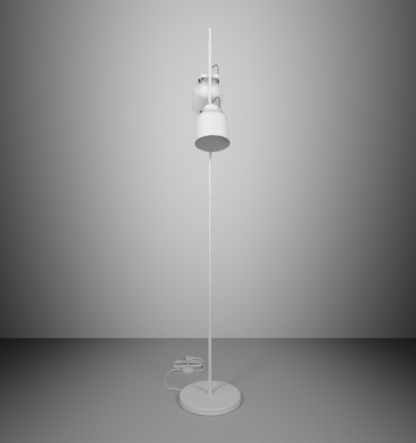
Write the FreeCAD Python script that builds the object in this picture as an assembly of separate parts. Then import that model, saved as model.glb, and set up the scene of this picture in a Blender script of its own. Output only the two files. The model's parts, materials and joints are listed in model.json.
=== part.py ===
import FreeCAD, Part
import math
import os

# Floor lamp with two pot-shaped heads on one thin pole and a round weighted base.
# Millimetres. +Z is up and the origin is on the floor, at the centre of the base.
# The front head is on -Y and the rear head on +Y; +X is to the right of the front head.

V = FreeCAD.Vector

# ---- driving dimensions ----
seat_gap = 0.15            # between pieces that are clamped or pressed together
turn_gap = 0.3             # between a piece that moves and what it passes

base_radius = 125.0
base_height = 27.0         # floor to the top face of the cover
base_edge_radius = 4.0
base_wall = 1.5
rim_lift = 2.5             # shadow gap under the cover's rim
pad_inset = 9.0            # from the cover's side to the pad's
pad_height = 5.0
weight_side_gap = 1.0

pole_radius = 6.5
pole_wall = 1.5
lamp_height = 1520.0
pole_seat_height = 12.0    # where the pole's foot stands in the weight
pole_cap_height = 2.0
pole_cap_stub = 12.0
foot_plug_length = 26.0
foot_bolt_radius = 3.0
foot_bolt_head_radius = 6.0
foot_bolt_head_height = 4.0

front_pivot_height = 1153.0
rear_pivot_height = 1329.5
pivot_reach = 67.0         # pole axis to tilt axis
front_tilt = 16.0          # degrees from hanging straight down
rear_tilt = 50.0

shade_wall = 1.2
neck_radius = 32.0
neck_rise = 28.0           # top of the neck above the tilt axis
neck_corner_radius = 14.0
shoulder_drop = 9.0        # start of the shoulder below the tilt axis
shoulder_ledge = 4.0       # flat ring between the neck and the shoulder
shoulder_bulge = 4.7
shoulder_end_drop = 38.0
shoulder_end_radius = 65.0
crease_radius = 3.0
root_radius = 1.2
mouth_drop = 133.0
mouth_radius = 67.5

yoke_thickness = 2.5
yoke_width = 15.0
yoke_bend_radius = 5.0
spacer_thickness = 2.0
spacer_radius = 7.0
saddle_radius = 8.0
saddle_thickness = 1.6     # at its thinnest, between pole and yoke
yoke_screw_radius = 2.0
yoke_screw_head_radius = 4.0
yoke_screw_head_height = 2.2

knob_radius = 7.5
knob_length = 7.6
knob_groove_radius = 0.55
knob_groove_count = 20
knob_edge = 0.6
stud_radius = 2.5
stud_gap = 0.06
pivot_nut_radius = 4.6
pivot_nut_length = 3.5

holder_radius = 17.0
holder_drop = 14.0         # mouth of the lampholder below the tilt axis
holder_bore_radius = 13.4
holder_bore_depth = 24.0
holder_stem_radius = 5.0
holder_stem_rise = 3.2
holder_nut_radius = 8.0
holder_nut_height = 2.6
bulb_radius = 22.5
bulb_centre_drop = 50.0
bulb_neck_radius = 14.0
bulb_cap_radius = 13.0

lead_radius = 1.8          # the short cables between pole and heads
front_lead_exit = 1219.0
rear_lead_exit = 1360.0
grommet_radius = 3.2
gland_radius = 4.0
gland_height = 10.0
gland_grip = 5.0           # how far the gland straddles the yoke's edge
gland_spare = 0.75         # from the yoke's bend to the gland
gland_socket = 4.0         # depth of a lead's end in its gland
lead_socket = 1.0          # depth of a lead's end in the pole's wall

cord_diameter = 6.2
cord_exit_angle = 145.5    # degrees from +X, where the cord leaves the base
cord_exit_height = 7.0
relief_length = 22.0
relief_root_radius = 5.6
relief_tip_radius = 3.9
relief_ring_count = 4

hank_centre = (-80.0, 365.0)
hank_half_length = 80.0
hank_half_width = 47.0
hank_turn_gap = 3.8        # between turns side by side, at the hank's ends
hank_layer_turns = 2
hank_layer_gap = 0.7
hank_waist = 0.78          # share of the width that is left at the tie
hank_entry_run = 22.0      # straight runs where the cord joins and leaves the hank
hank_exit_run = 2.0
tie_thickness = 0.8
tie_width = 6.0
tie_gap = 0.3

switch_centre = (-82.0, 294.0)
switch_turn = -15.0
switch_length = 52.0
switch_width = 24.0
switch_height = 17.0
switch_split = 7.5         # height of the seam between its two halves
switch_corner_radius = 7.0
switch_edge_radius = 2.0
switch_relief_length = 6.0
switch_cord_height = 6.0
rocker_length = 19.0
rocker_width = 10.0
rocker_rise = 1.8
rocker_depth = 5.6
rocker_end_gap = 0.8
rocker_floor_gap = 2.0
rocker_pin_height = 13.0   # the pins that the rocker turns on
rocker_pin_radius = 1.4
rocker_pin_length = 1.8
rocker_tilt = 6.0          # each way from level; it rests with its left end down

plug_length = 36.0
plug_face_width = 35.3     # across the pins
plug_neck_width = 13.0
plug_shoulder = 15.0       # how far the full width reaches back from the face
plug_thickness = 13.7
plug_edge_radius = 2.2
plug_middle = (403.0, 22.8)   # Y and Z of its middle line, over the hank's far side
plug_cord_x = -40.0        # where the cord meets the plug's relief
plug_relief_length = 14.0
plug_relief_grooves = 4
plug_pin_radius = 2.0
plug_pin_length = 19.0
plug_pin_spacing = 18.6
plug_sleeve_length = 10.0  # insulated root of each pin
plug_sleeve_radius = 1.85

# ---- heights of the mains cord's middle, on the floor and on the tie ----
floor_line = cord_diameter / 2.0
hank_line = tie_thickness + tie_gap + cord_diameter / 2.0


# ---- places that follow from these sizes ----
yoke_back = pole_radius + saddle_thickness + seat_gap
arm_middle = neck_radius + spacer_thickness + yoke_thickness / 2.0
gland_reach = yoke_back + yoke_thickness + yoke_bend_radius + gland_spare + gland_radius


# ---- small helpers ----
def solid_of_turn(points_to_edges, centre=V(0, 0, 0), axis=V(0, 0, 1)):
    """A closed profile of edges, turned a full circle."""
    face = Part.Face(Part.Wire(points_to_edges))
    return face.revolve(centre, axis, 360)


def line(a, b):
    return Part.LineSegment(V(a[0], 0, a[1]), V(b[0], 0, b[1])).toShape()


def arc(a, m, b):
    return Part.Arc(V(a[0], 0, a[1]), V(m[0], 0, m[1]), V(b[0], 0, b[1])).toShape()


def turned(points):
    """A body of revolution about Z from (radius, height) corners."""
    edges = [line(points[i], points[(i + 1) % len(points)]) for i in range(len(points))]
    return solid_of_turn(edges)


def cylinder(radius, height, foot, direction=V(0, 0, 1)):
    return Part.makeCylinder(radius, height, foot, direction)


def save(shape, name):
    shape = shape.removeSplitter() if len(shape.Solids) == 1 else shape
    assert shape.isValid(), name
    shape.exportStep("parts/%s.step" % name)


def rounded_route(points, name):
    """Straight runs joined by the largest tangent arcs that they allow."""
    points = [V(*p) for p in points]
    runs = [points[i + 1] - points[i] for i in range(len(points) - 1)]
    edges = []
    start = points[0]
    least_radius = math.inf
    for i in range(1, len(points) - 1):
        before = V(runs[i - 1]).normalize()
        after = V(runs[i]).normalize()
        turn = before.getAngle(after)
        reach = 0.45 * min(runs[i - 1].Length, runs[i].Length)
        radius = reach / math.tan(turn / 2.0)
        least_radius = min(least_radius, radius)
        arc_start = points[i] - before * reach
        arc_end = points[i] + after * reach
        inward = (after - before).normalize()
        depth = radius / math.cos(turn / 2.0) - radius
        edges.append(Part.LineSegment(start, arc_start).toShape())
        edges.append(Part.Arc(arc_start, points[i] + inward * depth, arc_end).toShape())
        start = arc_end
    edges.append(Part.LineSegment(start, points[-1]).toShape())
    print("%s: length %.0f, least bend radius %.1f" % (name, sum(e.Length for e in edges), least_radius))
    return edges


def tube(edges, radius, name):
    """A round tube along a route, with its volume compared to section times length."""
    first = edges[0]
    heading = first.tangentAt(first.FirstParameter)
    ring = Part.Wire(Part.Circle(first.valueAt(first.FirstParameter), heading, radius).toShape())
    body = Part.Wire(edges).makePipeShell([ring], True, False)
    expected = math.pi * radius ** 2 * sum(e.Length for e in edges)
    print("%s: volume ratio %.4f" % (name, body.Volume / expected))
    return body


def least_gap(edges, diameter):
    """The least gap of a route's tube to itself, measured on points."""
    samples = []
    travelled = 0.0
    for edge in edges:
        count = max(2, int(edge.Length / 3.0) + 1)
        for p in edge.discretize(count)[:-1]:
            samples.append((travelled, p))
            travelled += edge.Length / (count - 1)
    least = math.inf
    for i, (si, p) in enumerate(samples):
        for sj, q in samples[i + 1:]:
            if sj - si > 6 * diameter:
                least = min(least, p.distanceToPoint(q))
    return least - diameter


# ---- base ----
def base_shell():
    r, h, e, w = base_radius, base_height, base_edge_radius, base_wall
    hole = pole_radius + seat_gap
    corner = e * (1 - math.sqrt(0.5))
    inner = (e - w) * (1 - math.sqrt(0.5))
    edges = [
        line((hole, h), (r - e, h)),
        arc((r - e, h), (r - corner, h - corner), (r, h - e)),
        line((r, h - e), (r, rim_lift)),
        line((r, rim_lift), (r - w, rim_lift)),
        line((r - w, rim_lift), (r - w, h - e)),
        arc((r - w, h - e), (r - w - inner, h - w - inner), (r - e, h - w)),
        line((r - e, h - w), (hole, h - w)),
        line((hole, h - w), (hole, h)),
    ]
    shell = solid_of_turn(edges)
    return shell.cut(relief_hole(relief_root_radius - 1.0 + seat_gap))


def exit_direction():
    a = math.radians(cord_exit_angle)
    return V(math.cos(a), math.sin(a), 0)


def relief_hole(radius):
    out = exit_direction()
    foot = out * (base_radius - 30.0) + V(0, 0, cord_exit_height)
    return cylinder(radius, 40.0, foot, out)


def base_weight():
    top = base_height - base_wall - seat_gap
    rim = base_radius - base_wall - weight_side_gap
    chamfer = 3.0
    low = pad_height + seat_gap
    counterbore_top = low + foot_bolt_head_height + 1.0
    disc = turned([
        (foot_bolt_head_radius + 1.0, low), (rim - chamfer, low), (rim, low + chamfer),
        (rim, top - chamfer), (rim - chamfer, top), (pole_radius + seat_gap, top),
        (pole_radius + seat_gap, pole_seat_height), (foot_bolt_radius + seat_gap, pole_seat_height),
        (foot_bolt_radius + seat_gap, counterbore_top), (foot_bolt_head_radius + 1.0, counterbore_top)])
    return disc.cut(relief_hole(relief_root_radius + 1.0))


def base_pad():
    """A full disc, so that it also covers the foot bolt."""
    return cylinder(base_radius - pad_inset, pad_height, V(0, 0, 0))


def foot_bolt():
    low = pad_height + seat_gap + 0.5
    head = cylinder(foot_bolt_head_radius, foot_bolt_head_height, V(0, 0, low))
    top = pole_seat_height + foot_plug_length - 4.0
    shank = cylinder(foot_bolt_radius, top - low, V(0, 0, low))
    key = Part.Face(Part.makePolygon([
        V(2.6 * math.cos(math.radians(60 * i)), 2.6 * math.sin(math.radians(60 * i)), low)
        for i in range(7)])).extrude(V(0, 0, 2.5))
    return head.fuse(shank).cut(key)


def foot_plug():
    body = cylinder(pole_radius - pole_wall - seat_gap, foot_plug_length, V(0, 0, pole_seat_height + seat_gap))
    bore = cylinder(foot_bolt_radius + stud_gap, foot_plug_length + 1, V(0, 0, pole_seat_height))
    return body.cut(bore)


def cord_relief():
    out = exit_direction()
    neck = relief_root_radius - 1.0
    start = -4.0
    flange = 1.6
    corners = [(0, start), (neck, start), (neck, seat_gap), (relief_root_radius, seat_gap),
               (relief_root_radius, seat_gap + flange)]
    pitch = (relief_length - flange - 2.0) / relief_ring_count
    for i in range(relief_ring_count):
        low = flange + 1.0 + i * pitch
        share = (i + 0.5) / relief_ring_count
        ring = relief_root_radius + (relief_tip_radius - relief_root_radius) * share
        groove = ring - 0.7
        corners += [(groove, low), (groove, low + 0.35 * pitch), (ring, low + 0.35 * pitch), (ring, low + pitch)]
    corners += [(relief_tip_radius, relief_length), (0, relief_length)]
    body = turned(corners)
    body.rotate(V(0, 0, 0), V(0, 1, 0), 90)
    body.rotate(V(0, 0, 0), V(0, 0, 1), cord_exit_angle)
    body.translate(out * base_radius + V(0, 0, cord_exit_height))
    return body


# ---- pole ----
def pole():
    foot = pole_seat_height + seat_gap
    top = lamp_height - pole_cap_height
    body = cylinder(pole_radius, top - foot, V(0, 0, foot))
    body = body.cut(cylinder(pole_radius - pole_wall, top - foot, V(0, 0, foot)))
    for height, side in ((front_pivot_height, -1), (rear_pivot_height, 1)):
        hole = cylinder(yoke_screw_radius + stud_gap, pole_radius + 2, V(0, 0, height), V(0, side, 0))
        body = body.cut(hole)
    for height in (front_lead_exit, rear_lead_exit):
        body = body.cut(cylinder(grommet_radius - 0.8 + seat_gap, pole_radius + 2, V(0, 0, height), V(1, 0, 0)))
    return body


def pole_cap():
    top = lamp_height
    stub_radius = pole_radius - pole_wall - seat_gap
    seam = top - pole_cap_height + seat_gap
    return turned([(0, seam - pole_cap_stub), (stub_radius, seam - pole_cap_stub), (stub_radius, seam),
                   (pole_radius, seam), (pole_radius, top - 0.8), (pole_radius - 0.8, top), (0, top)])


def cable_grommets():
    rings = []
    for height in (front_lead_exit, rear_lead_exit):
        neck = grommet_radius - 0.8
        body = cylinder(neck, 3.4, V(pole_radius - pole_wall - 1.0, 0, height), V(1, 0, 0))
        flange = cylinder(grommet_radius, 1.3, V(pole_radius - 0.4, 0, height), V(1, 0, 0))
        flange = flange.cut(cylinder(pole_radius + seat_gap, 20, V(0, 0, height - 10)))
        bore = cylinder(lead_radius + 0.1, 20, V(0, 0, height), V(1, 0, 0))
        rings.append(body.fuse(flange).cut(bore))
    return Part.makeCompound(rings)


# ---- one head, hanging straight down from its tilt axis at the origin ----
def shade_body(inset):
    """The shade's outer form, or the same form inset by its wall."""
    top_flat = neck_radius - neck_corner_radius
    shoulder_start_radius = neck_radius + shoulder_ledge
    rise = neck_rise - inset
    neck = neck_radius - inset
    corner_radius = neck_corner_radius - inset
    corner = corner_radius * (1 - math.sqrt(0.5))
    middle = V((shoulder_start_radius + shoulder_end_radius) / 2, 0, -(shoulder_drop + shoulder_end_drop) / 2)
    chord = V(shoulder_end_radius - shoulder_start_radius, 0, shoulder_drop - shoulder_end_drop)
    outward = V(-chord.z, 0, chord.x).normalize()
    bulge_radius = (chord.Length ** 2 / 4 + shoulder_bulge ** 2) / (2 * shoulder_bulge)
    centre = middle - outward * (bulge_radius - shoulder_bulge)
    radius = bulge_radius - inset
    flat = -shoulder_drop - inset
    dome_start = (centre.x + math.sqrt(radius ** 2 - (flat - centre.z) ** 2), flat)
    taper = (mouth_radius - shoulder_end_radius) / (mouth_drop - shoulder_end_drop)
    side_z = -shoulder_end_drop
    for _ in range(20):
        side_r = shoulder_end_radius - inset - taper * (side_z + shoulder_end_drop)
        side_z = centre.z + math.sqrt(radius ** 2 - (side_r - centre.x) ** 2)
    dome_end = (side_r, side_z)
    half_way = V(dome_start[0] + dome_end[0], 0, dome_start[1] + dome_end[1]) * 0.5 - centre
    top_of_arc = centre + half_way.normalize() * radius
    edges = [
        line((0, rise), (top_flat, rise)),
        arc((top_flat, rise), (neck - corner, rise - corner), (neck, rise - corner_radius)),
        line((neck, rise - corner_radius), (neck, flat)),
        line((neck, flat), dome_start),
        arc(dome_start, (top_of_arc.x, top_of_arc.z), dome_end),
        line(dome_end, (mouth_radius - inset, -mouth_drop)),
        line((mouth_radius - inset, -mouth_drop), (0, -mouth_drop)),
        line((0, -mouth_drop), (0, rise)),
    ]
    body = solid_of_turn(edges)
    body = body.makeFillet(crease_radius - inset, [ring_edge(body, dome_end)])
    return body.makeFillet(root_radius + inset, [ring_edge(body, (neck, flat))])


def ring_edge(body, corner):
    """The circular edge of a turned body at one corner of its profile."""
    for edge in body.Edges:
        box = edge.BoundBox
        if edge.Closed and abs(box.ZMax - corner[1]) < 0.01 and abs(box.XMax - corner[0]) < 0.01:
            return edge


def shade():
    body = shade_body(0.0).cut(shade_body(shade_wall))
    body = body.cut(cylinder(holder_stem_radius + seat_gap, 20, V(0, 0, neck_rise - 10)))
    return body.cut(cylinder(stud_radius + stud_gap, 4 * neck_radius, V(-2 * neck_radius, 0, 0), V(1, 0, 0)))


def pivot_spacers():
    """Rings between the neck and the yoke's ears, hollowed to the neck's curve."""
    ears = neck_radius + spacer_thickness
    neck = cylinder(neck_radius + seat_gap, 60, V(0, 0, -30))
    bar = cylinder(spacer_radius, 2 * (ears - seat_gap), V(-ears + seat_gap, 0, 0), V(1, 0, 0))
    bore = cylinder(stud_radius + stud_gap, 4 * ears, V(-2 * ears, 0, 0), V(1, 0, 0))
    return bar.cut(neck).cut(bore)


def pivot_nuts():
    nuts = []
    reach = neck_radius - shade_wall - 0.6
    for side in (-1, 1):
        ring = Part.makePolygon([V(0, pivot_nut_radius * math.cos(math.radians(60 * i)),
                                   pivot_nut_radius * math.sin(math.radians(60 * i))) for i in range(7)])
        nut = Part.Face(ring).extrude(V(pivot_nut_length, 0, 0))
        nut.translate(V(reach - pivot_nut_length if side > 0 else -reach, 0, 0))
        bore = cylinder(stud_radius + stud_gap, 80, V(-40, 0, 0), V(1, 0, 0))
        nuts.append(nut.cut(bore))
    return Part.makeCompound(nuts)


def knob(side):
    """A grooved brass thumb nut with the stud that the head tilts on."""
    ear_out = neck_radius + spacer_thickness + yoke_thickness
    inner = ear_out + seat_gap
    outer = inner + knob_length
    e = knob_edge
    body = turned([(0, inner), (knob_radius - 1.5, inner), (knob_radius - 1.5, inner + 1.0),
                   (knob_radius, inner + 1.0 + e), (knob_radius, outer - e), (knob_radius - e, outer),
                   (knob_radius - 2.0, outer), (knob_radius - 2.4, outer - 0.4), (0, outer - 0.4)])
    for i in range(knob_groove_count):
        a = 2 * math.pi * i / knob_groove_count
        foot = V(knob_radius * math.cos(a), knob_radius * math.sin(a), inner + 1.0)
        body = body.cut(cylinder(knob_groove_radius, knob_length, foot))
    stud_end = neck_radius - shade_wall - pivot_nut_length - 1.5
    body = body.fuse(cylinder(stud_radius, inner - stud_end + 0.5, V(0, 0, stud_end)))
    body.rotate(V(0, 0, 0), V(0, 1, 0), 90 * side)
    return body


def lampholder():
    stem_top = neck_rise + seat_gap + holder_nut_height + holder_stem_rise - 2.6
    top = neck_rise - shade_wall - seat_gap
    low = -holder_drop
    floor = low + holder_bore_depth
    return turned([(holder_bore_radius, low), (holder_radius, low), (holder_radius, low + 5.0),
                   (holder_radius - 1.2, low + 6.2), (holder_radius - 1.2, top - 3.0),
                   (holder_radius - 4.2, top), (holder_stem_radius, top), (holder_stem_radius, stem_top),
                   (0, stem_top), (0, floor), (holder_bore_radius, floor)])


def holder_nut():
    low = neck_rise + seat_gap
    high = low + holder_nut_height
    return turned([(holder_stem_radius + stud_gap, low), (holder_nut_radius, low),
                   (holder_nut_radius, high - 0.8), (holder_nut_radius - 0.8, high),
                   (holder_stem_radius + stud_gap, high)])


def bulb():
    c = -bulb_centre_drop
    neck_z = c + math.sqrt(bulb_radius ** 2 - bulb_neck_radius ** 2)
    cap_top = -holder_drop + holder_bore_depth - 1.0
    collar = -holder_drop - 0.8
    edges = [
        arc((0, c - bulb_radius), (bulb_radius, c), (bulb_neck_radius, neck_z)),
        line((bulb_neck_radius, neck_z), (bulb_neck_radius, collar)),
        line((bulb_neck_radius, collar), (bulb_cap_radius, collar)),
        line((bulb_cap_radius, collar), (bulb_cap_radius, cap_top - 4.0)),
        line((bulb_cap_radius, cap_top - 4.0), (5.0, cap_top)),
        line((5.0, cap_top), (0, cap_top)),
        line((0, cap_top), (0, c - bulb_radius)),
    ]
    return solid_of_turn(edges)


# ---- what carries a head: modelled for a head on +Y, pivot height at zero ----
def yoke():
    """A flat strap bent to a U: its bridge on the pole, its ears on the pivots."""
    half = neck_radius + spacer_thickness
    near = yoke_back
    bend = yoke_bend_radius
    outer = Part.makeBox(2 * (half + yoke_thickness), pivot_reach - near, yoke_width,
                         V(-half - yoke_thickness, near, -yoke_width / 2))
    outer = outer.makeFillet(bend + yoke_thickness, [
        e for e in outer.Edges if e.BoundBox.ZLength > 1 and e.BoundBox.YMax < near + 0.01])
    inner = Part.makeBox(2 * half, 2 * pivot_reach, 2 * yoke_width,
                         V(-half, near + yoke_thickness, -yoke_width))
    inner = inner.makeFillet(bend, [
        e for e in inner.Edges if e.BoundBox.ZLength > 1 and e.BoundBox.YMax < near + yoke_thickness + 0.01])
    strap = outer.cut(inner)
    for side in (-1, 1):
        foot = V(half if side > 0 else -half - yoke_thickness, pivot_reach, 0)
        strap = strap.fuse(cylinder(yoke_width / 2, yoke_thickness, foot, V(1, 0, 0)))
    strap = strap.removeSplitter()
    strap = strap.cut(cylinder(stud_radius + stud_gap, 4 * half, V(-2 * half, pivot_reach, 0), V(1, 0, 0)))
    return strap.cut(cylinder(yoke_screw_radius + stud_gap, 20, V(0, 0, 0), V(0, 1, 0)))


def saddle():
    """A pad that is hollowed to the pole and flat against the yoke."""
    end = pole_radius + saddle_thickness
    body = cylinder(saddle_radius, end, V(0, 0, 0), V(0, 1, 0))
    body = body.cut(cylinder(pole_radius + seat_gap, 40, V(0, 0, -20)))
    body = body.cut(Part.makeBox(40, 6, 40, V(-20, -3, -20)))
    return body.cut(cylinder(yoke_screw_radius + stud_gap, 20, V(0, 0, 0), V(0, 1, 0)))


def yoke_screw():
    face = pole_radius + saddle_thickness + 2 * seat_gap + yoke_thickness
    shank_end = pole_radius - pole_wall - 2.5
    r, h = yoke_screw_head_radius, yoke_screw_head_height
    corner = 0.8
    body = turned([(0, shank_end), (yoke_screw_radius, shank_end), (yoke_screw_radius, face),
                   (r, face), (r, face + h - corner), (r - corner, face + h), (0, face + h)])
    slot = Part.makeBox(2 * r + 1, 1.0, 1.0, V(-r - 0.5, -0.5, face + h - 0.9))
    body = body.cut(slot)
    body.rotate(V(0, 0, 0), V(1, 0, 0), -90)
    return body


def gland():
    """A clip-on bush that holds a lead on the upper edge of the yoke's right arm."""
    x = arm_middle
    top = yoke_width / 2 + gland_height - gland_grip
    low = yoke_width / 2 - gland_grip
    body = turned([(0, low), (gland_radius, low), (gland_radius, top - 3.0), (gland_radius - 1.2, top), (0, top)])
    body = body.cut(cylinder(lead_radius + 0.1, gland_socket + 1.5, V(0, 0, top - gland_socket - 0.5)))
    body.translate(V(x, gland_reach, 0))
    half_slot = yoke_thickness / 2 + 0.1
    slot = Part.makeBox(2 * half_slot, 4 * gland_radius, gland_grip + 0.1,
                        V(x - half_slot, gland_reach - 2 * gland_radius, low))
    return body.cut(slot)


def lead(points, name):
    return tube(rounded_route(points, name), lead_radius, name)


def front_lead():
    x = arm_middle
    top = front_pivot_height + yoke_width / 2 + gland_height - gland_grip - gland_socket
    y = -gland_reach
    z = front_lead_exit
    return lead([(pole_radius - lead_socket, 0, z), (x - 22.5, 0, z), (x - 17.5, -1.0, z + 6.0),
                 (x - 13.0, -3.0, z + 13.0), (x - 6.5, -7.5, z + 15.5), (x - 0.5, -12.5, z + 11.5),
                 (x + 1.5, -17.0, z + 2.0), (x + 0.5, y + 0.5, z - 14.0), (x, y, z - 34.0), (x, y, top)],
                "front_lead")


def rear_lead():
    x = arm_middle
    top = rear_pivot_height + yoke_width / 2 + gland_height - gland_grip - gland_socket
    y = gland_reach
    z = rear_lead_exit
    return lead([(pole_radius - lead_socket, 0, z), (x - 22.5, 0, z), (x - 17.5, 1.5, z + 6.0),
                 (x - 13.0, 5.0, z + 13.0), (x - 6.5, 10.0, z + 14.5), (x - 0.5, 15.0, z + 8.5),
                 (x, y - 1.0, z - 1.5), (x, y, z - 12.0), (x, y, top)], "rear_lead")


# ---- mains cord ----
def lead_stretch():
    out = exit_direction()
    exit_point = out * (base_radius + relief_length) + V(0, 0, cord_exit_height)
    after = exit_point + out * 25.0
    turn = math.radians(switch_turn)
    inward = V(math.cos(turn), math.sin(turn), 0)
    left = V(switch_centre[0], switch_centre[1], switch_cord_height)
    left -= inward * (switch_length / 2 + switch_relief_length)
    before = left - inward * 38.0
    route = [tuple(exit_point), tuple(after), (-178.0, 110.0, floor_line), (-189.0, 152.0, floor_line),
             (-193.0, 201.0, floor_line), (-191.0, 246.0, floor_line), (-176.0, 285.0, floor_line),
             tuple(before), tuple(left)]
    return tube(rounded_route(route, "cord_lead"), cord_diameter / 2, "cord_lead")


def link_stretch():
    turn = math.radians(switch_turn)
    heading = V(math.cos(turn), math.sin(turn), 0)
    right = V(switch_centre[0], switch_centre[1], switch_cord_height)
    right += heading * (switch_length / 2 + switch_relief_length)
    right_end = hank_centre[0] + hank_half_length
    p1 = right + heading * 20.0
    p2 = V(-13.5, 287.0, hank_line)
    p3 = V(right_end, 304.0, hank_line)
    route = [tuple(right), tuple(p1), tuple(p2), tuple(p3), hank_start()]
    return tube(rounded_route(route, "cord_link"), cord_diameter / 2, "cord_link")


def hank_start():
    return (hank_centre[0] + hank_half_length, hank_centre[1] - hank_entry_run, hank_line)


def hank_corners():
    """Corner points of the hank: two turns inward, one layer up, two turns outward."""
    corners = []
    hank_step = cord_diameter + hank_turn_gap
    per_turn = 10
    total = 2 * hank_layer_turns * per_turn
    eighth = math.tan(math.radians(22.5))
    for n in range(total):
        turns = n / per_turn
        inward = turns if turns <= hank_layer_turns else 2 * hank_layer_turns - turns
        half_width = hank_half_width - hank_step * inward
        half_length = hank_half_length - hank_step * inward
        end = half_length - half_width
        high = n > hank_layer_turns * per_turn + 1
        z = hank_line + (cord_diameter + hank_layer_gap if high else 0.0)
        k = n % per_turn
        near, far = half_width * eighth, half_width
        offsets = [(end + far, near), (end + near, far), (0.0, far * hank_waist), (-end - near, far),
                   (-end - far, near), (-end - far, -near), (-end - near, -far),
                   (0.0, -far * hank_waist), (end + near, -far), (end + far, -near)]
        corners.append((hank_centre[0] + offsets[k][0], hank_centre[1] + offsets[k][1], z))
    return corners


def hank_finish():
    last = hank_corners()[-1]
    return (last[0], hank_centre[1] + hank_exit_run, last[2])


def hank():
    route = rounded_route([hank_start()] + hank_corners() + [hank_finish()], "cord_hank")
    print("cord_hank: least gap to itself %.2f" % least_gap(route, cord_diameter))
    return tube(route, cord_diameter / 2, "cord_hank")


def tail_stretch():
    x, y, top_line = hank_finish()
    plug_y, plug_z = plug_middle
    route = [hank_finish(), (x, y + 12.0, top_line), (x - 6.0, y + 26.0, top_line + 5.0),
             (x - 19.0, plug_y, plug_z), (plug_cord_x, plug_y, plug_z)]
    return tube(rounded_route(route, "cord_tail"), cord_diameter / 2, "cord_tail")


def hank_tie(bundle):
    """A flat tie round the waist of the hank, as large as the turns that it holds."""
    x = hank_centre[0]
    slab = Part.makeBox(tie_width + 1, 400, 60, V(x - tie_width / 2 - 0.5, hank_centre[1] - 200, 0))
    held = bundle.common(slab).BoundBox
    w = tie_thickness
    low, high = held.YMin - tie_gap, held.YMax + tie_gap
    top = held.ZMax + tie_gap
    outer = Part.makeBox(tie_width, high - low + 2 * w, top + w, V(x - tie_width / 2, low - w, 0))
    inner = Part.makeBox(tie_width + 2, high - low, top - w, V(x - tie_width / 2 - 1, low, w))
    return outer.cut(inner)


def placed_switch(shape):
    shape.rotate(V(0, 0, 0), V(0, 0, 1), switch_turn)
    shape.translate(V(switch_centre[0], switch_centre[1], 0))
    return shape


def switch_block(low, high):
    block = Part.makeBox(switch_length, switch_width, high - low, V(-switch_length / 2, -switch_width / 2, low))
    return block.makeFillet(switch_corner_radius, [e for e in block.Edges if e.BoundBox.ZLength > 1])


def switch_case():
    """Lower and upper half of the in-line switch; the upper one has the rocker's well."""
    lower = switch_block(0.0, switch_split)
    upper = switch_block(switch_split + seat_gap, switch_height)
    upper = upper.makeFillet(switch_edge_radius, [
        e for e in upper.Edges if e.BoundBox.ZMin > switch_height - 0.01])
    grip = cylinder(cord_diameter / 2 + 1.2, switch_length + 2 * switch_relief_length,
                    V(-switch_length / 2 - switch_relief_length, 0, switch_cord_height), V(1, 0, 0))
    grip_cut = cylinder(cord_diameter / 2 + 1.2 + seat_gap, 2 * switch_length,
                        V(-switch_length, 0, switch_cord_height), V(1, 0, 0))
    well = Part.makeBox(rocker_length + 2 * rocker_end_gap, rocker_width + 2 * turn_gap, 20,
                        V(-rocker_length / 2 - rocker_end_gap, -rocker_width / 2 - turn_gap,
                          switch_height - rocker_depth - rocker_floor_gap))
    pin_bore = rocker_pins(rocker_pin_radius + stud_gap, rocker_pin_length + turn_gap)
    lower = lower.fuse(grip).cut(well).removeSplitter()
    upper = upper.cut(grip_cut).cut(well).cut(pin_bore)
    return placed_switch(lower), placed_switch(upper)


def rocker_pins(radius, length):
    reach = rocker_width / 2 + length
    return cylinder(radius, 2 * reach, V(0, -reach, rocker_pin_height), V(0, 1, 0))


def switch_rocker():
    """A rocker with a shallow V top, turning on a pin at each side."""
    r = rocker_length / 2
    rise = switch_height + rocker_rise
    low = switch_height - rocker_depth
    face = Part.Face(Part.makePolygon([
        V(-r, -rocker_width / 2, switch_height - 0.4), V(-0.6 * r, -rocker_width / 2, low),
        V(0.6 * r, -rocker_width / 2, low), V(r, -rocker_width / 2, switch_height - 0.4),
        V(r, -rocker_width / 2, rise), V(0, -rocker_width / 2, rise - 1.2), V(-r, -rocker_width / 2, rise),
        V(-r, -rocker_width / 2, switch_height - 0.4)]))
    body = face.extrude(V(0, rocker_width, 0)).fuse(rocker_pins(rocker_pin_radius, rocker_pin_length))
    body.rotate(V(0, 0, rocker_pin_height), V(0, 1, 0), -rocker_tilt)
    return placed_switch(body)


def plug_body():
    """A flat two-pin plug: its outline is drawn across the pins, with a grooved relief."""
    wide, neck = plug_face_width / 2, plug_neck_width / 2
    back = -plug_relief_length
    face = back - plug_length
    shoulder = face + plug_shoulder
    middle = (back + shoulder) / 2
    side_in = [
        line((-wide, face), (wide, face)),
        line((wide, face), (wide, shoulder)),
        arc((wide, shoulder), ((wide + neck) / 2 - 1.6, middle), (neck, back)),
        line((neck, back), (-neck, back)),
        arc((-neck, back), (-(wide + neck) / 2 + 1.6, middle), (-wide, shoulder)),
        line((-wide, shoulder), (-wide, face)),
    ]
    outline = Part.Face(Part.Wire(side_in))
    body = outline.extrude(V(0, plug_thickness, 0))
    body.translate(V(0, -plug_thickness / 2, 0))
    body = body.makeFillet(plug_edge_radius, [
        e for e in body.Edges if e.BoundBox.YLength < 0.01 and e.BoundBox.ZMax > face + 0.01])
    relief = turned(relief_corners(neck - 0.8, cord_diameter / 2 + 0.9, back - 2.0))
    body = body.fuse(relief)
    for pin_side in (-1, 1):
        seat = cylinder(plug_pin_radius + seat_gap, 8.0, V(pin_side * plug_pin_spacing / 2, 0, face - 0.1))
        body = body.cut(seat)
    return placed_plug(body)


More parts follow.
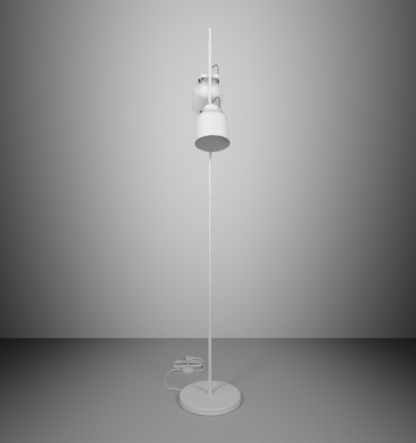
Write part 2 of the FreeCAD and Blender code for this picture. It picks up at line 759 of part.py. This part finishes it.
def relief_corners(root, tip, start):
    """Half profile of the plug's relief, from its root to the cord, with its grooves."""
    corners = [(0, start), (root, start)]
    pitch = (plug_relief_length - 2.0) / plug_relief_grooves
    for i in range(plug_relief_grooves):
        low = -plug_relief_length + i * pitch
        ring = root + (tip - root) * (i + 0.5) / plug_relief_grooves
        corners += [(ring, low), (ring, low + 0.62 * pitch), (ring - 0.8, low + 0.62 * pitch),
                    (ring - 0.8, low + pitch)]
    return corners + [(tip, -2.0), (tip, 0), (0, 0)]


def plug_pins():
    face = -(plug_relief_length + plug_length)
    pins = []
    for side in (-1, 1):
        x = side * plug_pin_spacing / 2
        tip_z = face - plug_pin_length
        sleeve_z = face - plug_sleeve_length
        bare = cylinder(plug_pin_radius, sleeve_z - tip_z, V(x, 0, tip_z))
        tip = [e for e in bare.Edges if e.Closed and e.BoundBox.ZMax < tip_z + 0.01]
        bare = bare.makeFillet(1.4, tip)
        root = cylinder(plug_pin_radius, 7.0, V(x, 0, face))
        pins.append(placed_plug(bare.fuse(cylinder(plug_sleeve_radius, face - sleeve_z, V(x, 0, sleeve_z))).fuse(root)))
    return Part.makeCompound(pins)


def placed_plug(shape):
    shape.rotate(V(0, 0, 0), V(0, 0, 1), 90)
    shape.rotate(V(0, 0, 0), V(0, 1, 0), 90)
    shape.translate(V(plug_cord_x, plug_middle[0], plug_middle[1]))
    return shape


# ---- build and save ----
os.makedirs("parts", exist_ok=True)

save(base_shell(), "base_shell")
save(base_weight(), "base_weight")
save(base_pad(), "base_pad")
save(foot_bolt(), "foot_bolt")
save(foot_plug(), "foot_plug")
save(cord_relief(), "cord_relief")
save(pole(), "pole")
save(pole_cap(), "pole_cap")
save(cable_grommets(), "cable_grommets")

for name, side, height, tilt in (("front", -1, front_pivot_height, front_tilt),
                                 ("rear", 1, rear_pivot_height, rear_tilt)):
    pivot = V(0, side * pivot_reach, height)
    for piece, shape in (("shade", shade()), ("pivot_spacers", pivot_spacers()),
                         ("pivot_nuts", pivot_nuts()), ("left_knob", knob(-1)), ("right_knob", knob(1)),
                         ("lampholder", lampholder()), ("holder_nut", holder_nut()), ("bulb", bulb())):
        shape.rotate(V(0, 0, 0), V(1, 0, 0), side * tilt)
        shape.translate(pivot)
        save(shape, "%s_%s" % (name, piece))
    for piece, shape in (("yoke", yoke()), ("saddle", saddle()), ("yoke_screw", yoke_screw()),
                         ("gland", gland())):
        if side < 0:
            shape = shape.mirror(V(0, 0, 0), V(0, 1, 0))
        shape.translate(V(0, 0, height))
        save(shape, "%s_%s" % (name, piece))

save(front_lead(), "front_lead")
save(rear_lead(), "rear_lead")
save(lead_stretch(), "cord_lead")
save(link_stretch(), "cord_link")
bundle = hank()
save(bundle, "cord_hank")
save(tail_stretch(), "cord_tail")
save(hank_tie(bundle), "hank_tie")
lower_case, upper_case = switch_case()
save(lower_case, "switch_base")
save(upper_case, "switch_cover")
save(switch_rocker(), "switch_rocker")
save(plug_body(), "plug_body")
save(plug_pins(), "plug_pins")
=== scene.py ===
import json
import math

import bpy
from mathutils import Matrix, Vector


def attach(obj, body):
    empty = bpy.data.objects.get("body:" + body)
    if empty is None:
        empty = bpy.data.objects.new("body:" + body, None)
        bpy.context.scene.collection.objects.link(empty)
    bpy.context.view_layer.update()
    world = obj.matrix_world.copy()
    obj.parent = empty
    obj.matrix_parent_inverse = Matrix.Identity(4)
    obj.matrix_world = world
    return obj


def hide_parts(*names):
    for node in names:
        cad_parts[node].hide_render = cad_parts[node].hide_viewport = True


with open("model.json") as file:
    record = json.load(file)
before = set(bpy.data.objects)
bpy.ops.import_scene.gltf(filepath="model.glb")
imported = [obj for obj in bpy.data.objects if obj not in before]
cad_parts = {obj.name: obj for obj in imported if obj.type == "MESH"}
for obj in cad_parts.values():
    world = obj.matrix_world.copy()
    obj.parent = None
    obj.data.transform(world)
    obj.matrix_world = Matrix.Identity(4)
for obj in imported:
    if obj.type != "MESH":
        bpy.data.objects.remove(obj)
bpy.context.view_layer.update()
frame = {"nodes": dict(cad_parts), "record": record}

nodes = frame["nodes"]
STAND = "stand"
MM = 0.001


# ---- shader nodes ----
class Socket:
    """A node's output; an operator on it adds a Math node."""

    def __init__(self, look, output):
        self.look = look
        self.output = output

    def maths(self, operation, first, second):
        return self.look.node("ShaderNodeMath", {0: first, 1: second}, operation=operation)

    def __add__(self, other):
        return self.maths("ADD", self, other)

    def __sub__(self, other):
        return self.maths("SUBTRACT", self, other)

    def __rsub__(self, other):
        return self.maths("SUBTRACT", other, self)

    def __mul__(self, other):
        return self.maths("MULTIPLY", self, other)

    def __truediv__(self, other):
        return self.maths("DIVIDE", self, other)

    def __rtruediv__(self, other):
        return self.maths("DIVIDE", other, self)

    def __pow__(self, other):
        return self.maths("POWER", self, other)

    def __rpow__(self, other):
        return self.maths("POWER", other, self)

    __radd__ = __add__
    __rmul__ = __mul__


class Look:
    """One material, built node by node."""

    def __init__(self, name):
        self.material = bpy.data.materials.new(name)
        self.material.use_nodes = True
        self.tree = self.material.node_tree
        self.tree.nodes.clear()

    def node(self, kind, inputs=None, output=0, stops=None, **settings):
        """Adds a node: its settings first, then the values or links of its sockets."""
        made = self.tree.nodes.new(kind)
        for name, value in settings.items():
            setattr(made, name, value)
        if stops:
            ramp = made.color_ramp.elements
            while len(ramp) < len(stops):
                ramp.new(1.0)
            for element, (place, level) in zip(ramp, stops):
                element.position = place
                element.color = rgb(level, level, level)
        for name, value in (inputs or {}).items():
            if isinstance(value, Socket):
                self.tree.links.new(value.output, made.inputs[name])
            else:
                made.inputs[name].default_value = value
        return Socket(self, made.outputs[output]) if made.outputs else None

    def place(self):
        return self.node("ShaderNodeTexCoord", output="Object")

    def split(self, vector):
        """The three numbers of a vector."""
        separated = self.node("ShaderNodeSeparateXYZ", {"Vector": vector})
        return [Socket(self, output) for output in separated.output.node.outputs]

    def noise(self, scale, detail=3.0, stretch=None):
        place = self.place()
        if stretch:
            place = self.node("ShaderNodeMapping", {"Vector": place, "Scale": stretch})
        sockets = {"Vector": place, "Scale": scale, "Detail": detail}
        return self.node("ShaderNodeTexNoise", sockets, output="Fac")

    def ramp(self, value, *stops):
        return self.node("ShaderNodeValToRGB", {"Fac": value}, stops=stops)

    def blend(self, share, first, second):
        """A colour between two colours."""
        return self.node("ShaderNodeMix", {0: share, 6: first, 7: second}, output=2, data_type="RGBA")

    def bump(self, height, depth, strength):
        sockets = {"Height": height, "Distance": depth, "Strength": strength}
        return self.node("ShaderNodeBump", sockets, output="Normal")

    def surface(self, **sockets):
        """The object's shader; its socket names are written with _ for a space."""
        named = {name.replace("_", " "): value for name, value in sockets.items()}
        return self.finish(self.node("ShaderNodeBsdfPrincipled", named, output="BSDF"))

    def finish(self, shader):
        self.node("ShaderNodeOutputMaterial", {"Surface": shader})
        return self.material


def rgb(red, green, blue):
    return (red, green, blue, 1.0)


def shaded(colour, share):
    """A colour made darker by a share, for the marks on a surface."""
    return rgb(*[share * part for part in colour])


# ---- finishes ----
def powder_coat():
    """Satin white powder coat: a fine orange peel, and a breath of dust and handling."""
    look = Look("white_powder_coat")
    white = (0.84, 0.84, 0.835)
    peel = look.noise(1400.0, detail=2.0)
    speck = look.noise(5200.0, detail=1.0)
    drift = look.noise(9.0, detail=4.0)
    handled = look.ramp(look.noise(38.0, detail=5.0), (0.45, 0.0), (0.75, 1.0))
    tone = look.blend(drift, shaded(white, 0.975), rgb(*white))
    tone = look.blend(handled * 0.10, tone, rgb(0.76, 0.755, 0.74))
    return look.surface(
        Base_Color=tone,
        Roughness=0.40 + 0.07 * peel + 0.08 * handled,
        Normal=look.bump(peel + 0.3 * speck, 0.00005, 0.45),
    )


def brass():
    """Turned brass that has darkened, brighter where fingers wear it."""
    look = Look("darkened_brass")
    tarnish = look.noise(260.0, detail=5.0)
    lathe = look.noise(900.0, detail=2.0, stretch=(6.0, 0.4, 0.4))
    worn = look.ramp(tarnish, (0.40, 0.0), (0.68, 1.0))
    return look.surface(
        Base_Color=look.blend(worn, rgb(0.085, 0.056, 0.014), rgb(0.34, 0.24, 0.055)),
        Metallic=1.0,
        Roughness=0.27 + 0.18 * tarnish,
        Normal=look.bump(lathe, 0.00003, 0.5),
    )


def zinc_steel():
    """Bright zinc-plated steel with fine turning marks."""
    look = Look("zinc_steel")
    marks = look.noise(700.0, detail=2.0, stretch=(0.3, 6.0, 6.0))
    bloom = look.noise(60.0, detail=4.0)
    return look.surface(
        Base_Color=look.blend(bloom, rgb(0.50, 0.50, 0.49), rgb(0.66, 0.66, 0.67)),
        Metallic=1.0,
        Roughness=0.30 + 0.15 * marks,
        Normal=look.bump(marks, 0.00002, 0.6),
    )


def cast_iron():
    """The base's weight: iron with the skin that a sand mould leaves."""
    look = Look("cast_iron")
    sand = look.noise(520.0, detail=6.0)
    return look.surface(
        Base_Color=look.blend(sand, rgb(0.035, 0.033, 0.031), rgb(0.11, 0.105, 0.10)),
        Metallic=0.6,
        Roughness=0.60 + 0.25 * sand,
        Normal=look.bump(sand, 0.0003, 0.8),
    )


def foam_rubber():
    """The pad under the base, with its small open cells."""
    look = Look("foam_rubber")
    cells = look.node("ShaderNodeTexVoronoi", {"Vector": look.place(), "Scale": 900.0}, output="Distance")
    return look.surface(
        Base_Color=look.blend(cells, rgb(0.012, 0.012, 0.012), rgb(0.035, 0.035, 0.034)),
        Roughness=0.85 + 0.10 * cells,
        Normal=look.bump(cells, 0.0004, 0.7),
    )


def opal_glass():
    """The lamp bulb: milky glass with a faint unevenness in its inner coat."""
    look = Look("opal_glass")
    coat = look.noise(90.0, detail=4.0)
    return look.surface(
        Base_Color=look.blend(coat, rgb(0.78, 0.78, 0.76), rgb(0.86, 0.86, 0.85)),
        Roughness=0.16 + 0.08 * coat,
        Coat_Weight=0.35 + 0.10 * coat,
        Normal=look.bump(coat, 0.0001, 0.15),
    )


def moulded(name, colour, roughness, grain=2600.0):
    """Moulded plastic with the fine spark grain of its tool and faint flow marks."""
    look = Look(name)
    spark = look.noise(grain, detail=2.0)
    flow = look.noise(45.0, detail=3.0, stretch=(1.0, 1.0, 0.35))
    return look.surface(
        Base_Color=look.blend(flow, shaded(colour, 0.94), rgb(*colour)),
        Roughness=roughness + 0.10 * spark,
        Normal=look.bump(spark, 0.00003, 0.5),
    )


def cord_sheath(name, colour, roughness):
    """Extruded cable sheath: nearly smooth, scuffed and slightly grubby from the floor."""
    look = Look(name)
    scuff = look.ramp(look.noise(150.0, detail=6.0), (0.50, 0.0), (0.72, 1.0))
    twist = look.noise(420.0, detail=2.0)
    return look.surface(
        Base_Color=look.blend(scuff * 0.35, rgb(*colour), shaded(colour, 0.80)),
        Roughness=roughness + 0.12 * scuff + 0.05 * twist,
        Normal=look.bump(twist, 0.00006, 0.5),
    )


FINISHES = {
    "white_paint": powder_coat(),
    "brass": brass(),
    "steel": zinc_steel(),
    "iron": cast_iron(),
    "foot_rubber": foam_rubber(),
    "opal_bulb": opal_glass(),
    "white_plastic": moulded("white_moulding", (0.80, 0.80, 0.785), 0.38),
    "rocker_plastic": moulded("rocker_moulding", (0.83, 0.83, 0.82), 0.24, grain=4200.0),
    "holder_plastic": moulded("black_phenolic", (0.022, 0.021, 0.020), 0.30, grain=3600.0),
    "tie_plastic": moulded("tie_moulding", (0.74, 0.74, 0.725), 0.36),
    "grey_lead": cord_sheath("grey_sheath", (0.155, 0.155, 0.155), 0.42),
    "white_cord": cord_sheath("white_sheath", (0.80, 0.80, 0.785), 0.38),
}


def dress(piece, slot):
    """Gives a piece one finish all over."""
    piece.data.materials.clear()
    piece.data.materials.append(FINISHES[slot])


def dress_cad_pieces():
    for part in frame["record"]["subparts"]:
        dress(nodes[part["node"]], part["material_slot"])


# ---- cords ----
CORD_DIAMETER = 6.2 * MM
HEAD_LEAD_DIAMETER = 3.6 * MM
CORD_SIDES = 5               # bevel resolution of the round section
ON_FLOOR = CORD_DIAMETER / 2

BASE_EXIT_ANGLE = math.radians(145.5)
BASE_EXIT_REACH = 0.147      # pole axis to the tip of the base's relief
BASE_EXIT_HEIGHT = 0.007

SWITCH_MIDDLE = Vector((-0.082, 0.294, 0.006))
SWITCH_TURN = math.radians(-15.0)
SWITCH_ALONG = Vector((math.cos(SWITCH_TURN), math.sin(SWITCH_TURN), 0.0))
SWITCH_END = 0.032           # middle of the switch to the tip of its relief

HANK_MIDDLE = Vector((-0.080, 0.365))
HANK_HALF_LENGTH = 0.080
HANK_HALF_WIDTH = 0.047
HANK_STEP = 0.010            # each turn lies this much inside the one before
HANK_WAIST = 0.68            # width at the tie, as a share of the turn's own
HANK_LINE = 1.1 * MM + ON_FLOOR
LAYER_RISE = CORD_DIAMETER + 0.7 * MM
LAYER_TURNS = 2
TURN_CORNERS = 10

PLUG_ENTRY = Vector((-0.040, 0.403, 0.0228))


def add_piece(name, data, slot):
    """A new piece of the lamp in one finish; its caller fixes it to the stand."""
    piece = bpy.data.objects.new(name, data)
    bpy.context.scene.collection.objects.link(piece)
    dress(piece, slot)
    return piece


def round_cord(name, route, diameter, slot):
    """A round cord on one smooth curve with the route's points as its control points."""
    curve = bpy.data.curves.new(name, "CURVE")
    curve.dimensions = "3D"
    curve.bevel_depth = 1.0
    curve.bevel_resolution = CORD_SIDES
    curve.use_fill_caps = True
    spline = curve.splines.new("NURBS")
    spline.points.add(len(route) - 1)
    for held, point in zip(spline.points, route):
        held.co = (*point, 1.0)
        held.radius = diameter / 2
    spline.order_u = 3
    spline.use_endpoint_u = True
    spline.resolution_u = 10
    return add_piece(name, curve, slot)


def line_length(cord):
    """Length of a cord's curve, measured on the curve with no thickness."""
    depth = cord.data.bevel_depth
    cord.data.bevel_depth = 0.0
    line = bpy.data.meshes.new_from_object(cord)
    cord.data.bevel_depth = depth
    places = [vertex.co for vertex in line.vertices]
    return sum((after - before).length for before, after in zip(places, places[1:]))


def hank_corners():
    """Two turns inward, one layer up, two turns outward."""
    for count in range(2 * LAYER_TURNS * TURN_CORNERS):
        turns = count / TURN_CORNERS
        inward = turns if turns <= LAYER_TURNS else 2 * LAYER_TURNS - turns
        far = HANK_HALF_WIDTH - HANK_STEP * inward
        near = far * math.tan(math.radians(22.5))
        end = HANK_HALF_LENGTH - HANK_HALF_WIDTH
        waist = far * HANK_WAIST
        upper = count > LAYER_TURNS * TURN_CORNERS + 1
        z = HANK_LINE + (LAYER_RISE if upper else 0.0)
        offsets = ((end + far, near), (end + near, far), (0.0, waist), (-end - near, far),
                   (-end - far, near), (-end - far, -near), (-end - near, -far), (0.0, -waist),
                   (end + near, -far), (end + far, -near))
        x, y = offsets[count % TURN_CORNERS]
        yield Vector((HANK_MIDDLE.x + x, HANK_MIDDLE.y + y, z))


def cord_from_base_to_switch():
    """Out of the base's relief, round to the left on the floor, and into the switch."""
    outward = Vector((math.cos(BASE_EXIT_ANGLE), math.sin(BASE_EXIT_ANGLE), 0.0))
    start = outward * BASE_EXIT_REACH + Vector((0.0, 0.0, BASE_EXIT_HEIGHT))
    end = SWITCH_MIDDLE - SWITCH_ALONG * SWITCH_END
    loop = ((-0.178, 0.110), (-0.189, 0.152), (-0.193, 0.201), (-0.191, 0.246), (-0.176, 0.285))
    route = [start, start + outward * 0.025,
             *[Vector((x, y, ON_FLOOR)) for x, y in loop],
             end - SWITCH_ALONG * 0.038, end]
    cord = round_cord("mains_cord_to_switch", route, CORD_DIAMETER, "white_cord")
    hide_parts("cord_lead")
    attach(cord, STAND)
    line_length(cord)


def cord_from_switch_to_plug(strap):
    """Out of the switch, round the hank, and up behind it into the plug."""
    start = SWITCH_MIDDLE + SWITCH_ALONG * SWITCH_END
    corners = list(hank_corners())
    x, y, z = corners[-1].x, HANK_MIDDLE.y + 0.002, corners[-1].z
    route = [start, start + SWITCH_ALONG * 0.020,
             Vector((-0.0135, 0.287, HANK_LINE)),
             Vector((0.0, 0.304, HANK_LINE)),
             Vector((HANK_MIDDLE.x + HANK_HALF_LENGTH, HANK_MIDDLE.y - 0.022, HANK_LINE)),
             *corners,
             Vector((x, y + 0.012, z)),
             Vector((x - 0.006, y + 0.026, z + 0.005)),
             Vector((x - 0.019, PLUG_ENTRY.y, PLUG_ENTRY.z)),
             PLUG_ENTRY]
    cord = round_cord("mains_cord_to_plug", route, CORD_DIAMETER, "white_cord")
    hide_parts("cord_link", "cord_hank", "cord_tail")
    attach(cord, STAND)
    line_length(cord)


# Each head's short lead, in millimetres: out of the pole's grommet, up in a small arch,
# and down into the gland on the yoke.
HEAD_LEAD_ROUTES = {
    "front": ((5.5, 0, 1219), (12.75, 0, 1219), (17.75, -1, 1225), (22.25, -3, 1232),
              (28.75, -7.5, 1234.5), (34.75, -12.5, 1230.5), (36.75, -17, 1221), (35.75, -20, 1205),
              (35.25, -20.5, 1185), (35.25, -20.5, 1161.5)),
    "rear": ((5.5, 0, 1360), (12.75, 0, 1360), (17.75, 1.5, 1366), (22.25, 5, 1373),
             (28.75, 10, 1374.5), (34.75, 15, 1368.5), (35.25, 19.5, 1358.5), (35.25, 20.5, 1348),
             (35.25, 20.5, 1338)),
}


def head_leads():
    for head, points in HEAD_LEAD_ROUTES.items():
        route = [Vector(point) * MM for point in points]
        lead = round_cord(head + "_head_lead", route, HEAD_LEAD_DIAMETER, "grey_lead")
        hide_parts(head + "_lead")
        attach(lead, STAND)


# ---- the strap round the hank's waist ----
STRAP_WIDTH = 9.0 * MM
STRAP_THICKNESS = 1.1 * MM
STRAP_UNDERSIDE = 0.2 * MM
STRAP_STEPS = 72
# Round the strap's section: how far out of its middle line in widths, and how far in from
# its outer face in thicknesses. Both edges carry a raised bead.
STRAP_SECTION = ((-0.50, 0.6), (-0.47, 0.0), (-0.36, 0.0), (-0.30, 0.3), (0.30, 0.3), (0.36, 0.0),
                 (0.47, 0.0), (0.50, 0.6), (0.46, 1.0), (-0.46, 1.0))


def hank_strap():
    """A soft plastic strap drawn round all the turns of the hank."""
    top = HANK_LINE + LAYER_RISE + CORD_DIAMETER / 2 + STRAP_THICKNESS
    reach = HANK_HALF_WIDTH * HANK_WAIST + CORD_DIAMETER / 2 + STRAP_THICKNESS
    half_height, middle = (top - STRAP_UNDERSIDE) / 2, (top + STRAP_UNDERSIDE) / 2
    corners = len(STRAP_SECTION)
    verts, faces = [], []
    for step in range(STRAP_STEPS):
        turn = 2 * math.pi * step / STRAP_STEPS
        across, up = math.cos(turn), math.sin(turn)
        squared = (abs(across) ** 4 + abs(up) ** 4) ** -0.25   # between a circle and a square
        here, there = step * corners, (step + 1) % STRAP_STEPS * corners
        for i, (along, depth) in enumerate(STRAP_SECTION):
            inset = depth * STRAP_THICKNESS
            verts.append((HANK_MIDDLE.x + along * STRAP_WIDTH,
                          HANK_MIDDLE.y + across * squared * (reach - inset),
                          middle + up * squared * (half_height - inset)))
            j = (i + 1) % corners
            faces.append((here + i, there + i, there + j, here + j))
    mesh = bpy.data.meshes.new("hank_strap")
    mesh.from_pydata(verts, [], faces)
    mesh.shade_smooth()
    strap = add_piece("hank_strap", mesh, "tie_plastic")
    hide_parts("hank_tie")
    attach(strap, STAND)
    return strap


# ---- stage: a floor and backdrop toned with painted light, as soft light leaves them ----
CAMERA_TURN = math.radians(-4.7)
CAMERA_PLACE = Vector((-0.1310, -1.4933, 0.730))
CAMERA_LENS = 29.82
WALL_DISTANCE = 2.299        # from the camera, along its view
FLOOR_SIZE = 8.0
WALL_HALF_WIDTH = 4.0
WALL_HEIGHT = 5.0
WALL_PAINTED_LIGHT = 0.623           # brightness at the middle of the wall's painted glow
WALL_GLOW_ASIDE = -0.013
WALL_GLOW_HEIGHT = 1.335
WALL_GLOW_RISE = 1.285       # how far the painted glow reaches up and down
PAINTED_POOL_LIGHT = 0.54            # colour of the floor in the middle of its painted pool of light
PAINTED_POOL_EDGE = 0.012            # and far outside it
PAINTED_POOL_DEPTH = 0.06            # the painted light pool is a long oval: this much of the depth counts


def bell(distance, reach):
    """A soft bell from 1 at the middle towards 0."""
    share = distance / reach
    return math.e ** (share * share * -0.5)


def wall_painted_glow():
    look = Look("backdrop")
    across, _, up = look.split(look.place())
    reach = 0.585 + 0.055 * up      # the painted glow narrows towards the floor
    # Painted light: the backdrop's glow is painted in as emission seen only by camera and glossy rays,
    # brightest in the middle and fading to the sides, up and down.
    level = WALL_PAINTED_LIGHT * bell(across - WALL_GLOW_ASIDE, reach)
    level = level * bell(up - WALL_GLOW_HEIGHT, WALL_GLOW_RISE)
    glow = look.node("ShaderNodeEmission", {"Color": level, "Strength": 1.0})
    plain = look.node("ShaderNodeBsdfDiffuse", {"Color": rgb(0.45, 0.45, 0.45)})
    seen = (look.node("ShaderNodeLightPath", output="Is Camera Ray")
            + look.node("ShaderNodeLightPath", output="Is Glossy Ray"))
    front = look.node("ShaderNodeMixShader", {0: seen, 1: plain, 2: glow})
    behind = look.node("ShaderNodeNewGeometry", output="Backfacing")
    clear = look.node("ShaderNodeBsdfTransparent")
    return look.finish(look.node("ShaderNodeMixShader", {0: behind, 1: front, 2: clear}))


def floor_with_painted_light_pool():
    look = Look("floor")
    aside, away, _ = look.split(look.place())
    spread = (aside * aside + away * away * PAINTED_POOL_DEPTH) ** 0.5
    # Painted light: a pale pool of light painted into the floor's colour round the lamp, fading to near
    # black far out.
    level = PAINTED_POOL_EDGE + PAINTED_POOL_LIGHT * math.e ** (-2.4 * spread ** 2.5)
    grit = look.noise(60.0, detail=5.0)
    return look.surface(Base_Color=level * (0.98 + 0.04 * grit), Roughness=0.75)


def stage_sheet(name, corners, material):
    """A flat sheet of the stage, turned to face the camera."""
    mesh = bpy.data.meshes.new(name)
    mesh.from_pydata(corners, [], [(0, 1, 2, 3)])
    mesh.materials.append(material)
    sheet = bpy.data.objects.new(name, mesh)
    bpy.context.scene.collection.objects.link(sheet)
    sheet.rotation_euler = (0.0, 0.0, CAMERA_TURN)
    return sheet


def backdrop():
    edge = FLOOR_SIZE / 2
    stage_sheet("floor", [(-edge, -edge, 0), (edge, -edge, 0), (edge, edge, 0), (-edge, edge, 0)],
                floor_with_painted_light_pool())
    side = WALL_HALF_WIDTH
    wall = stage_sheet("wall", [(-side, 0, 0), (side, 0, 0), (side, 0, WALL_HEIGHT),
                                (-side, 0, WALL_HEIGHT)], wall_painted_glow())
    heading = Vector((-math.sin(CAMERA_TURN), math.cos(CAMERA_TURN), 0.0))
    foot = CAMERA_PLACE + heading * WALL_DISTANCE
    wall.location = (foot.x, foot.y, 0.0)


# ---- light and camera ----
def softbox(name, place, aim, size, power, spread=180.0):
    """A round soft light turned to a point of the lamp; spread is its beam in degrees."""
    light = bpy.data.lights.new(name, "AREA")
    light.shape = "DISK"
    light.size = size
    light.energy = power
    light.spread = math.radians(spread)
    held = bpy.data.objects.new(name, light)
    bpy.context.scene.collection.objects.link(held)
    held.location = place
    held.rotation_euler = (Vector(aim) - Vector(place)).to_track_quat("-Z", "Y").to_euler()


def lights():
    """Two front lights that shade the pole on the base, and three that fill in the heads."""
    softbox("left_softbox", (-1.25, -1.55, 1.75), (0.0, 0.0, 1.05), 0.55, 17.0)
    softbox("right_softbox", (1.15, -1.60, 1.75), (0.0, 0.0, 1.05), 0.55, 14.5)
    softbox("low_fill", (-0.10, -1.75, 0.30), (0.0, 0.0, 1.15), 0.90, 1.05, spread=64.0)
    softbox("left_side_fill", (-2.20, -0.20, 1.00), (0.0, 0.0, 1.35), 1.10, 2.0, spread=64.0)
    softbox("right_side_fill", (2.20, -0.20, 1.00), (0.0, 0.0, 1.35), 1.10, 1.8, spread=64.0)
    world = bpy.data.worlds.new("studio")
    world.use_nodes = True
    air = world.node_tree.nodes["Background"]
    air.inputs["Color"].default_value = rgb(0.62, 0.62, 0.62)
    air.inputs["Strength"].default_value = 0.31
    bpy.context.scene.world = world


def camera():
    held = bpy.data.objects.new("camera", bpy.data.cameras.new("camera"))
    held.data.lens = CAMERA_LENS
    held.location = CAMERA_PLACE
    held.rotation_euler = (math.radians(90.0), 0.0, CAMERA_TURN)
    bpy.context.scene.collection.objects.link(held)
    bpy.context.scene.camera = held


dress_cad_pieces()
cord_from_base_to_switch()
cord_from_switch_to_plug(hank_strap())
head_leads()
backdrop()
lights()
camera()
bpy.context.scene.view_settings.view_transform = "Standard"
